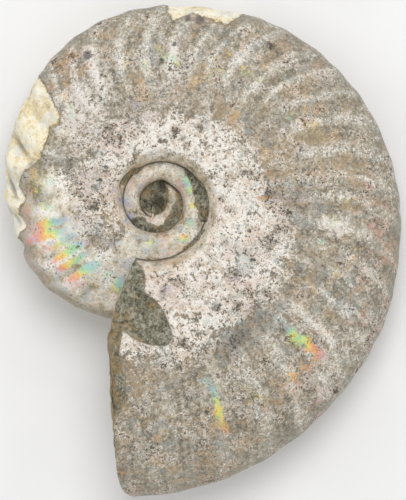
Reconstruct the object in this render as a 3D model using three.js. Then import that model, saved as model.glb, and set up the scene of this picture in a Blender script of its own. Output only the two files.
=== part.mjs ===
// Ammonite fossil: a whole coiled shell of a flattened species with a small umbilicus, turned to
// stone in one piece, its broken last chamber filled with rock. It rests on its lower flank.
// Millimetres, +Z up, origin under the middle of the shell on the surface it rests on.
//
// The shell is worked out round its coil axis. A place on it has a turn count g, which is 0 at the
// inner corner of the broken mouth and rises going back towards the centre, a side, +1 for the
// upper half and -1 for the lower, and a column from the seam with the turn inside it (column 0)
// over the umbilical shoulder and the flank to the outer edge, the venter (last column).
import * as THREE from "three";

const DEGREE = Math.PI / 180;

// The spiral.
const MOUTH_DIRECTION = -111.5 * DEGREE; // from the coil axis to the inner corner of the mouth
const VENTER_RADIUS = 51.3; // of the outermost turn, at g = 0
const VENTER_CLOSING = 0.62; // how fast the radius shrinks inwards at the mouth
const VENTER_TIGHTENING = 0.26; // and how much faster a turn further in
const SEAM_RADIUS = 10.16; // where the outermost turn meets the one inside it; it halves each turn
const TURNS = 2; // shown in the umbilicus before the plug of rock at the centre

// The cross-section of the whorl.
const HALF_THICKNESS = 11.8; // at the umbilical shoulder, at g = 0
const THICKNESS_GROWTH = 1.9; // per turn
const SHOULDER_STEP = 1.0; // from the seam to the crest of the shoulder, at least
const SHOULDER_SHARE = 0.24; // and this share of the seam's radius more
const FLANK_FULLNESS = 2; // exponents of the flank: flat by the shoulder, narrow at the venter
const VENTER_SHARPNESS = 0.55;
const DEEPEST_COVER = 0.85; // a seam lies no further out than this on the flank that it covers
const CENTRE_HEIGHT = 1.6; // of the rock plug, above the middle plane

// Ribs, and the growth lines that they follow: back towards mid-flank, forwards at the venter.
const RIBS_PER_TURN = 40;
const RIB_HEIGHT = 0.4;
const RIB_BEND_BACK = 3.6; // degrees
const RIB_BEND_FORWARD = 4.4; // degrees

// The broken mouth: radial over the turn inside, then a flat break, where the rock bulges out
// from between the two halves of the shell.
const BREAK_OFFSET = 10.2; // from the coil axis to the plane of the break
const BREAK_FACING = -176 * DEGREE;
const BREAK_CORNER = 2.6; // degrees that the shell's edge turns back at the venter
const BREAK_REACH = 0.22; // turns over which the growth lines swing into the break's direction
const LIP_SETBACK = 1; // of the shell's edge from the plane of the break
const LIP_ROUNDING = 1; // that the edge lies below the flank
const LIP_REACH = 0.015; // turns
const COVERING_REACH = 0.08; // turns over which the ribs straighten before the rock covers them
const ROCK_END = 38; // the rock's edge stands out only this far from the coil axis
const ROCK_LUMPS = 0.35;
const BREAK_STEPS = 5; // rows of facets on the break

// The window beside the mouth where the shell has come off the rock.
const WINDOW = { turn: 0.03, turns: 0.05, radius: 18.5, width: 6, depth: 0.7 };

// How the shell lies: turned a little about X and Y so that it stands on its lower flank, and
// lowered until the places that touch are worn flat.
const LEAN_X = -3.1 * DEGREE;
const LEAN_Y = 4.3 * DEGREE;
const AXIS_PLACE = new THREE.Vector3(-7.5, 7.96, 10.5);

// Facets.
const ROWS = 120; // per turn, three to a rib
const WALL_COLUMNS = 2; // seam to shoulder crest
const INNER_COLUMNS = 4; // seam to where the next turn's seam would lie
const COLUMNS = 14; // seam to venter

const seamRadius = (g) => SEAM_RADIUS * 2 ** -g;

const shoulderRadius = (g) =>
  seamRadius(g) * (1 + SHOULDER_SHARE) + SHOULDER_STEP;

const halfThickness = (g) => HALF_THICKNESS * THICKNESS_GROWTH ** -g;

// The inner turns go on as the plain logarithmic spiral that the last turn ends in.
function venterRadius(g) {
  const last = Math.min(g, 1);
  const shrink = VENTER_CLOSING * last + VENTER_TIGHTENING * last * last;
  const inner = (VENTER_CLOSING + 2 * VENTER_TIGHTENING) * (g - last);
  return VENTER_RADIUS * Math.exp(-shrink - inner);
}

function flankHeight(g, share) {
  const fall = 1 - share ** FLANK_FULLNESS;
  return halfThickness(g) * Math.max(fall, 0) ** VENTER_SHARPNESS;
}

// A seam lies on the flank of the turn inside it.
function seamHeight(g) {
  const crest = shoulderRadius(g + 1);
  const share = (seamRadius(g) - crest) / (venterRadius(g + 1) - crest);
  return flankHeight(g + 1, Math.min(Math.max(share, 0), DEEPEST_COVER));
}

// Radius and height of a column of the section, and its share of the way over the open flank.
function section(g, column) {
  const seam = seamRadius(g);
  const crest = shoulderRadius(g);
  const venter = venterRadius(g);
  if (column <= WALL_COLUMNS) {
    const rise = (column / WALL_COLUMNS) * 90 * DEGREE;
    const foot = seamHeight(g);
    return {
      radius: crest - (crest - seam) * Math.cos(rise),
      height: foot + (halfThickness(g) - foot) * Math.sin(rise),
      open: 0,
    };
  }
  const cover = 2 * seam; // the seam of a turn outside this one
  let radius = crest + ((cover - crest) * (column - WALL_COLUMNS)) / (INNER_COLUMNS - WALL_COLUMNS);
  let open = 0;
  if (column > INNER_COLUMNS) {
    const step = (column - INNER_COLUMNS) / (COLUMNS - INNER_COLUMNS);
    open = Math.sin(step * 90 * DEGREE);
    radius = cover + (venter - cover) * open;
  }
  const share = (radius - crest) / (venter - crest);
  return { radius, height: flankHeight(g, share), open };
}

// Degrees that a growth line lies behind its start at the umbilicus.
function growthBend(open) {
  const back = RIB_BEND_BACK * Math.sin(Math.PI * open) ** 2;
  return back - RIB_BEND_FORWARD * open ** 6;
}

// Degrees from the mouth's inner corner back to the shell's edge on the break, at a radius.
function edgeSetback(radius, open) {
  const inside = 1 - THREE.MathUtils.smoothstep(radius, ROCK_END - 4, ROCK_END);
  const offset = BREAK_OFFSET - LIP_SETBACK * inside;
  const edge = BREAK_FACING + Math.acos(Math.min(offset / radius, 1));
  return Math.max(edge - MOUTH_DIRECTION, 0) / DEGREE + BREAK_CORNER * open ** 30;
}

function ribRelief(row, open) {
  const wave = 0.5 + 0.5 * Math.cos((2 * Math.PI * row * RIBS_PER_TURN) / ROWS);
  const fadeIn = THREE.MathUtils.smoothstep(open, 0.15, 0.5);
  const fadeOut = 1 - 0.7 * THREE.MathUtils.smoothstep(open, 0.9, 1);
  return RIB_HEIGHT * wave * fadeIn * fadeOut;
}

function windowDepth(g, radius, side) {
  if (side < 0) return 0;
  const along = (g - WINDOW.turn) / WINDOW.turns;
  const across = (radius - WINDOW.radius) / WINDOW.width;
  return WINDOW.depth * (1 - THREE.MathUtils.smoothstep(Math.hypot(along, across), 0.8, 1.1));
}

function shellPoint(row, column, side) {
  const start = row / ROWS;
  const first = section(start, column);
  const swing = Math.max(1 - start / BREAK_REACH, 0) ** 2;
  const covering = THREE.MathUtils.smoothstep(start, 1 - COVERING_REACH, 1);
  const setback = edgeSetback(first.radius, first.open) * swing;
  const bend = growthBend(first.open) * (1 - swing) * (1 - covering);
  const g = start + (setback + bend) / 360;
  const { radius, height, open } = section(g, column);
  const rounding = LIP_ROUNDING * Math.max(1 - start / LIP_REACH, 0) ** 2;
  const relief = ribRelief(row, open);
  const sunk = windowDepth(g, radius, side) + rounding;
  const outward = open ** 3;
  const reach = radius + relief * outward;
  const turned = MOUTH_DIRECTION + 360 * DEGREE * g;
  return new THREE.Vector3(
    reach * Math.cos(turned),
    reach * Math.sin(turned),
    side * (height + relief * (1 - outward) - sunk),
  );
}

// Vertices are numbered as they are first asked for, so that pieces of surface that share an
// edge share its vertices.
class Skin {
  places = [];
  faces = [];
  numbers = new Map();

  vertex(key, place) {
    if (!this.numbers.has(key)) {
      this.numbers.set(key, this.places.length);
      this.places.push(place());
    }
    return this.numbers.get(key);
  }

  triangle(a, b, c, side) {
    if (a === b || b === c || c === a) return;
    this.faces.push(...(side > 0 ? [a, b, c] : [a, c, b]));
  }

  quad(a, b, c, d, side) {
    this.triangle(a, b, c, side);
    this.triangle(a, c, d, side);
  }
}

// The seam of a turn is the cover line of the turn inside it, and both halves share the venter.
function shellVertex(skin, row, column, side) {
  const covered = column === 0 && row + ROWS <= ROWS * TURNS;
  const [r, c] = covered ? [row + ROWS, INNER_COLUMNS] : [row, column];
  const s = c === COLUMNS ? 0 : side;
  return skin.vertex(`${r} ${c} ${s}`, () => {
    const place = shellPoint(r, c, side);
    if (s === 0) place.z = 0;
    return place;
  });
}

function addTurns(skin, side) {
  for (let row = 0; row < ROWS * TURNS; row++) {
    const columns = row < ROWS ? COLUMNS : INNER_COLUMNS;
    for (let column = 0; column < columns; column++) {
      const corner = (r, c) => shellVertex(skin, row + r, column + c, side);
      skin.quad(corner(0, 0), corner(0, 1), corner(1, 1), corner(1, 0), side);
    }
  }
}

// The rock plug inside the innermost turn, with the step where that turn ends.
function addCentre(skin, side) {
  const pole = skin.vertex(`centre ${side}`, () => new THREE.Vector3(0, 0, side * CENTRE_HEIGHT));
  const end = ROWS * TURNS;
  for (let row = ROWS * (TURNS - 1); row < end; row++) {
    const here = shellVertex(skin, row, 0, side);
    const next = shellVertex(skin, row + 1, 0, side);
    skin.triangle(pole, here, next, side);
  }
  for (let column = 0; column < INNER_COLUMNS; column++) {
    const here = shellVertex(skin, end, column, side);
    const next = shellVertex(skin, end, column + 1, side);
    skin.triangle(pole, here, next, side);
  }
}

// The break runs from the edge of the outermost turn to the turn that passes under it. Both
// edges go from the upper seam round the venter to the lower seam.
function addBreak(skin) {
  const around = (from, row) => {
    const edge = [];
    for (let column = from; column <= COLUMNS; column++) edge.push([column, 1]);
    for (let column = COLUMNS - 1; column >= from; column--) edge.push([column, -1]);
    return edge.map(([column, side]) => shellVertex(skin, row, column, side));
  };
  const lip = around(0, 0);
  const under = around(INNER_COLUMNS, ROWS);
  const lines = [];
  for (let step = 0; step < BREAK_STEPS; step++) lines.push(breakLine(skin, lip, under, step));
  for (let step = 0; step + 1 < BREAK_STEPS; step++) {
    const [outer, inner] = [lines[step], lines[step + 1]];
    for (let i = 0; i + 1 < outer.length; i++)
      skin.quad(outer[i], inner[i], inner[i + 1], outer[i + 1], 1);
  }
  addStrip(skin, lines[BREAK_STEPS - 1], under);
}

// One line of vertices a step of the way from the lip to the turn under it, drawn out to the
// plane of the break.
function breakLine(skin, lip, under, step) {
  const facing = new THREE.Vector3(Math.cos(BREAK_FACING), Math.sin(BREAK_FACING), 0);
  const inwards = step / BREAK_STEPS;
  return lip.map((vertex, i) => {
    if (step === 0 || i === 0 || i === lip.length - 1) return vertex;
    const share = i / (lip.length - 1);
    const place = share * (under.length - 1);
    const low = Math.min(Math.floor(place), under.length - 2);
    return skin.vertex(`break ${i} ${step}`, () => {
      const target = skin.places[under[low]].clone();
      target.lerp(skin.places[under[low + 1]], place - low);
      const point = skin.places[vertex].clone().lerp(target, inwards);
      const missing = BREAK_OFFSET - point.dot(facing);
      const lumps = ROCK_LUMPS * Math.sin(2.3 * i + 4.1 * step) * Math.cos(1.7 * i - 2.9 * step);
      const middle = (Math.sin(Math.PI * share) * Math.sin(Math.PI * inwards)) ** 0.5;
      return point.addScaledVector(facing, Math.max(missing, 0) * middle ** 0.7 + lumps * middle);
    });
  });
}

// Triangles between two lines with different numbers of vertices.
function addStrip(skin, outer, inner) {
  let [i, j] = [0, 0];
  while (i < outer.length - 1 || j < inner.length - 1) {
    const outerShare = (i + 1) / (outer.length - 1);
    const innerShare = (j + 1) / (inner.length - 1);
    if (j === inner.length - 1 || (i < outer.length - 1 && outerShare <= innerShare)) {
      skin.triangle(outer[i], inner[j], outer[i + 1], 1);
      i++;
    } else {
      skin.triangle(outer[i], inner[j], inner[j + 1], 1);
      j++;
    }
  }
}

function layDown(geometry) {
  const pose = new THREE.Matrix4()
    .makeRotationFromEuler(new THREE.Euler(LEAN_X, LEAN_Y, 0))
    .setPosition(AXIS_PLACE);
  geometry.applyMatrix4(pose);
  const places = geometry.getAttribute("position");
  for (let i = 0; i < places.count; i++) places.setZ(i, Math.max(places.getZ(i), 0));
}

function fossilGeometry() {
  const skin = new Skin();
  for (const side of [1, -1]) {
    addTurns(skin, side);
    addCentre(skin, side);
  }
  addBreak(skin);
  const coordinates = skin.places.flatMap((place) => place.toArray());
  const geometry = new THREE.BufferGeometry();
  geometry.setAttribute("position", new THREE.Float32BufferAttribute(coordinates, 3));
  geometry.setIndex(skin.faces);
  layDown(geometry);
  geometry.computeVertexNormals();
  return geometry;
}

const nacre = new THREE.MeshStandardMaterial({
  name: "nacre",
  color: new THREE.Color(0.72, 0.67, 0.61),
  roughness: 0.45,
  metalness: 0,
});

const fossil = new THREE.Mesh(fossilGeometry(), nacre);
fossil.name = "ammonite_fossil";

const group = new THREE.Group();
group.add(fossil);

export default group;
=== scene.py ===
"""An ammonite fossil lying on its lower flank.

The shell is one skin worked out round its coil axis, in millimetres. A place on it has a turn,
counted back from the inner corner of the broken mouth, and a column, counted out from the seam
with the turn inside it. The marks on the shell are worked out on the same grid and kept as
attributes, which the material turns into worn nacre, chalky shell, bare inner shell and rock.
"""

from __future__ import annotations

import logging
from dataclasses import dataclass, field
from enum import Enum
from typing import Iterable, Sequence, Union

import bpy
import numpy as np
from mathutils import Matrix, Vector

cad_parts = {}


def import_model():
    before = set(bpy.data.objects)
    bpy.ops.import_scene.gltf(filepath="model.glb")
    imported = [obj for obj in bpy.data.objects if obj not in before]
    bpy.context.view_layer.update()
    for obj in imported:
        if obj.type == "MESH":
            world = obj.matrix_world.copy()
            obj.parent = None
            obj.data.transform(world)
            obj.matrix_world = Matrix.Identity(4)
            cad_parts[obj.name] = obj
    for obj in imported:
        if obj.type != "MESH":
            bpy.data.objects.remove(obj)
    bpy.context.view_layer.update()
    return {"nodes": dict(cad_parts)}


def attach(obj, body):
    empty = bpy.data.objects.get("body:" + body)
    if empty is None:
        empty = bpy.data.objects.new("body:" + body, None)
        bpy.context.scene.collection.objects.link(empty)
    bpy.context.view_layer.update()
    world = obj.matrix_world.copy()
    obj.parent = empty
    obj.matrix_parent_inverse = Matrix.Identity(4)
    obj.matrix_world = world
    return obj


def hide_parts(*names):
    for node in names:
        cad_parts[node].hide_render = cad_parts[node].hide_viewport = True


Array = np.ndarray
Colour = tuple[float, float, float]
Line = tuple[tuple[float, float], ...]
LOG = logging.getLogger("ammonite")
MM = 0.001
OUTSIDE = -5.0
NOISE_SWING = 0.13
HASH_STEPS = (127.1, 311.7, 74.7)
HASH_SEED_STEP = 19.19
HASH_STRETCH = 43758.5453


class Side(Enum):
    """The two flanks of the shell, by the sign of their height over the middle plane."""

    UPPER = 1
    LOWER = -1


class Kind(Enum):
    """The parts of the skin."""

    FLANK = 0
    PLUG = 1
    MOUTH = 2


class Mark(Enum):
    """The attributes that tell the material what each place on the shell is."""

    ROCK = "rock"
    BARE = "bare"
    CHALK = "chalk"
    RIB = "rib"
    # Where the iridescent sheen is painted.
    GLEAM = "gleam"
    HUE = "hue"
    STAIN = "stain"
    PALE = "pale"
    # Dark spots, and painted shade in folds, pits and between the ribs.
    DARK = "dark"
    SLEEK = "sleek"
    # Painted shade that darkens the flank towards its rounded outer edge.
    EDGE = "edge"
    # The seam's groove: rock in it and painted shade.
    SEAM = "seam"
    WARM = "warm"
    COOL = "cool"
    GRAIN = "grain"


def smooth(value: Array, low: float, high: float) -> Array:
    """Rises from 0 at low to 1 at high along an S-shaped cubic."""
    share = np.clip((value - low) / (high - low), 0, 1)
    return share * share * (3 - 2 * share)


def scattered(cells: Array, seed: int) -> Array:
    """A number from 0 to 1 for each whole-number cell, the fractional part of a large sine."""
    mixed = cells @ np.array(HASH_STEPS) + HASH_SEED_STEP * seed
    return np.abs(np.sin(mixed) * HASH_STRETCH) % 1


def lumps(places: Array, size: float, seed: int) -> Array:
    """Smooth random bumps from -1 to 1.

    The numbers of the eight lattice corners round each place are blended with cubic weights.

    Args:
        places: Points, one to a row.
        size: The spacing of the lattice, in the same unit.
        seed: Chooses one pattern.

    Returns:
        One number for each point.
    """
    low = np.floor(places / size)
    part = places / size - low
    part = part * part * (3 - 2 * part)
    total = np.zeros(len(places))
    for corner in np.ndindex(2, 2, 2):
        weight = np.where(corner, part, 1 - part).prod(axis=1)
        total += weight * scattered(low + corner, seed)
    return 2 * total - 1


def depth_inside(x: Array, y: Array, corners: Sequence[tuple[float, float]]) -> Array:
    """The distance to a closed outline, positive inside it.

    The nearest point of each side gives the distance, and the number of sides that a line
    drawn to the right crosses gives the sign.

    Args:
        x: First coordinates of the places.
        y: Second coordinates of the places.
        corners: The outline's corners in order.

    Returns:
        One signed distance for each place.
    """
    nearest = np.full(x.shape, np.inf)
    inside = np.zeros(x.shape, bool)
    for (ax, ay), (bx, by) in zip(corners, [*corners[1:], corners[0]]):
        dx, dy = bx - ax, by - ay
        along = np.clip(((x - ax) * dx + (y - ay) * dy) / (dx * dx + dy * dy), 0, 1)
        nearest = np.minimum(nearest, np.hypot(x - ax - along * dx, y - ay - along * dy))
        if ay != by:
            crossing = ax + (y - ay) * dx / dy
            inside ^= ((ay > y) != (by > y)) & (x < crossing)
    return np.where(inside, nearest, -nearest)


@dataclass(frozen=True)
class Coil:
    """The spiral that the shell grew along, in millimetres and in turns back from the mouth."""

    mouth_direction: float = -111.5
    corner_lag: float = 16.5
    venter_radius: float = 51.3
    venter_closing: float = 0.62
    venter_tightening: float = 0.26
    seam_radius: float = 10.16
    half_thickness: float = 11.8
    thickness_growth: float = 1.9
    shoulder_step: float = 1.0
    shoulder_share: float = 0.24
    flank_fullness: float = 2.0
    venter_sharpness: float = 0.55
    deepest_cover: float = 0.85
    outline: Line = (
        (0, 0.3), (20, 0), (50, -0.6), (65, -0.35), (80, -0.5), (95, -0.1), (140, 0), (165, -0.15),
        (185, 0), (200, 0.4), (215, 0.2), (230, -0.3), (275, -0.3), (290, -0.4), (298, 0),
        (305, 0.25), (318, 0.1), (330, 0),
    )

    def bearing(self, turn: Array) -> Array:
        """Degrees back from the shell's outer corner at the mouth, which lags the inner one."""
        return 360 * turn - self.corner_lag

    def seam(self, turn: Array) -> Array:
        """The radius where a turn meets the one inside it, halved by each turn."""
        return self.seam_radius * 2.0 ** -turn

    def crest(self, turn: Array) -> Array:
        """The radius of the shoulder round the open centre: a step and a share past the seam."""
        return self.seam(turn) * (1 + self.shoulder_share) + self.shoulder_step

    def thickness(self, turn: Array) -> Array:
        """Half the thickness at the shoulder, divided by the growth for each turn."""
        return self.half_thickness * self.thickness_growth ** -turn

    def venter(self, turn: Array) -> Array:
        """The radius of the outer edge, which closes in faster with each turn up to the first."""
        last = np.minimum(turn, 1)
        shrink = self.venter_closing * last + self.venter_tightening * last * last
        inner = (self.venter_closing + 2 * self.venter_tightening) * (turn - last)
        return self.venter_radius * np.exp(-shrink - inner)

    def flank(self, turn: Array, share: Array) -> Array:
        """Height at a share of the way from shoulder to outer edge: (1 - share^a)^b of the top."""
        fall = np.clip(1 - np.clip(share, 0, 1) ** self.flank_fullness, 0, 1)
        return self.thickness(turn) * fall ** self.venter_sharpness

    def seam_height(self, turn: Array) -> Array:
        """A seam's height, which is that of the flank of the turn inside it."""
        crest = self.crest(turn + 1)
        share = (self.seam(turn) - crest) / (self.venter(turn + 1) - crest)
        return self.flank(turn + 1, np.clip(share, 0, self.deepest_cover))

    def irregularity(self, turn: Array) -> Array:
        """How far the outer edge strays from the spiral, joined up between measured bearings."""
        bearings, amounts = zip(*self.outline)
        return np.interp(self.bearing(turn), bearings, amounts)


@dataclass(frozen=True)
class Break:
    """The broken mouth: radial over the turn inside, then a flat break across the last turn."""

    offset: float = 10.2
    facing: float = -176.0
    corner: float = 2.6
    corner_power: int = 30
    reach: float = 0.22
    setback: float = 1.0
    rounding: float = 1.0
    rock_end: float = 38.0
    rock_fade: float = 4.0
    rounding_share: float = 0.015
    rounding_end: float = 36.0
    bulge_power: float = 0.35
    radial_end: tuple[float, float] = (20.5, 24.0)
    steps: int = 26
    shell_edge: Line = (
        (20, 3.3), (22, 2.9), (26, 1.9), (28, 2.0), (30, 2.7), (32, 2.4), (33.5, 2.9), (36, 1.2),
        (38.5, -0.4), (52, -0.6),
    )

    def normal(self) -> Array:
        """The direction that the break faces."""
        turned = np.radians(self.facing)
        return np.array([np.cos(turned), np.sin(turned), 0.0])

    def edge_setback(self, coil: Coil, radius: Array, open_share: Array) -> Array:
        """Degrees back from the inner corner to the shell's edge.

        The edge lies where a circle round the coil axis meets the plane of the break, set back
        a little where rock fills the mouth, and the corner at the venter is turned back.

        Args:
            coil: The shell's spiral.
            radius: Distance from the coil axis.
            open_share: Share of the way over the open flank.

        Returns:
            One angle for each place.
        """
        inside = 1 - smooth(radius, self.rock_end - self.rock_fade, self.rock_end)
        offset = self.offset - self.setback * inside
        edge = self.facing + np.degrees(np.arccos(np.clip(offset / radius, -1, 1)))
        back = np.maximum(edge - coil.mouth_direction, 0)
        return back + self.corner * open_share ** self.corner_power

    def depth(self, places: Array) -> Array:
        """How far places lie behind the plane of the break."""
        return self.offset - places @ self.normal()

    def shell_missing(self, places: Array) -> Array:
        """The distance past the shell's broken edge, positive where the rock shows."""
        radius = np.hypot(places[:, 0], places[:, 1])
        far, edge = zip(*self.shell_edge)
        return np.interp(radius, far, edge) - self.depth(places)


@dataclass(frozen=True)
class Ribs:
    """Sickle-shaped ribs: back towards the middle of the flank and forwards at the venter."""

    height: float = 0.36
    bend_back: float = 3.6
    bend_forward: float = 4.4
    covering_reach: float = 0.08
    groove_share: float = 0.4
    reach_read: float = 0.7
    rise: tuple[float, float] = (0.1, 0.5)
    edge_fade: tuple[float, float] = (0.93, 1.0)
    edge_loss: float = 0.5
    strengths: Line = ((0, 0.5), (30, 0.9), (240, 1), (270, 1.5))
    bearings: tuple[float, ...] = (
        -30, -10, 7, 22, 33, 43, 51.5, 57.5, 66, 73, 80, 87.5, 97, 104, 112, 122.5, 131, 138.5, 145,
        156, 164, 171, 179, 190, 200, 211, 220, 229, 238, 249, 265, 280.5, 294.5, 307, 319.5, 333,
        346, 358,
    )

    def bend(self, open_share: Array) -> Array:
        """Degrees behind the growth line's start: a sine squared less a sixth power."""
        back = self.bend_back * np.sin(np.pi * open_share) ** 2
        return back - self.bend_forward * open_share ** 6

    def wave(self, bearing: Array) -> Array:
        """1 on the crest of a rib and 0 between two, a cosine stretched to the ribs' places."""
        phase = np.interp(bearing, self.bearings, np.arange(len(self.bearings)))
        return 0.5 + 0.5 * np.cos(2 * np.pi * phase)

    def strength(self, bearing: Array, open_share: Array) -> Array:
        """How strong a rib is: it rises over the flank, weakens at the edge, varies by bearing."""
        across = smooth(open_share, *self.rise) * (1 - self.edge_loss * smooth(open_share, *self.edge_fade))
        return across * np.interp(bearing, *zip(*self.strengths))


@dataclass(frozen=True)
class Lie:
    """How the shell lies: leaned about X and Y and set down with its touching places flat."""

    lean_x: float = -3.1
    lean_y: float = 4.3
    axis_place: tuple[float, float, float] = (-7.5, 7.96, 10.5)

    def matrix(self) -> Matrix:
        """From the coil's own frame to the resting shell's, in millimetres."""
        turn_x = Matrix.Rotation(np.radians(self.lean_x), 4, "X")
        turn_y = Matrix.Rotation(np.radians(self.lean_y), 4, "Y")
        return Matrix.Translation(self.axis_place) @ turn_x @ turn_y

    def place(self, points: Array) -> Array:
        """Points moved by the matrix, and none below the surface that the shell rests on."""
        matrix = np.array(self.matrix())
        moved = points @ matrix[:3, :3].T + matrix[:3, 3]
        moved[:, 2] = np.maximum(moved[:, 2], 0)
        return moved


@dataclass(frozen=True)
class Streak:
    """A soft oval mark on the last turn, in degrees of bearing and shares of the flank."""

    bearing: float
    reach: float
    degrees: float
    span: float
    strength: float = 1.0
    slant: float = 0.0

    def on(self, bearing: Array, reach: Array) -> Array:
        """The mark's strength, a bell curve in both directions that leans by slant degrees."""
        along = reach - self.reach
        across = bearing - self.bearing - self.slant * along
        return self.strength * np.exp(-((across / self.degrees) ** 2) - (along / self.span) ** 2)


@dataclass(frozen=True)
class Blot:
    """A soft round mark seen from above, in millimetres from the coil axis, with its hue."""

    x: float
    y: float
    size: float
    strength: float = 1.0
    hue: float = 0.0

    def on(self, x: Array, y: Array) -> Array:
        """The mark's strength, a bell curve round its middle."""
        return self.strength * np.exp(-((x - self.x) ** 2 + (y - self.y) ** 2) / self.size ** 2)


def streaks(*rows: tuple[float, ...]) -> tuple[Streak, ...]:
    """Soft oval marks, each from a row of its sizes."""
    return tuple(Streak(*row) for row in rows)


def blots(*rows: tuple[float, ...]) -> tuple[Blot, ...]:
    """Soft round marks, each from a row of its sizes."""
    return tuple(Blot(*row) for row in rows)


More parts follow.
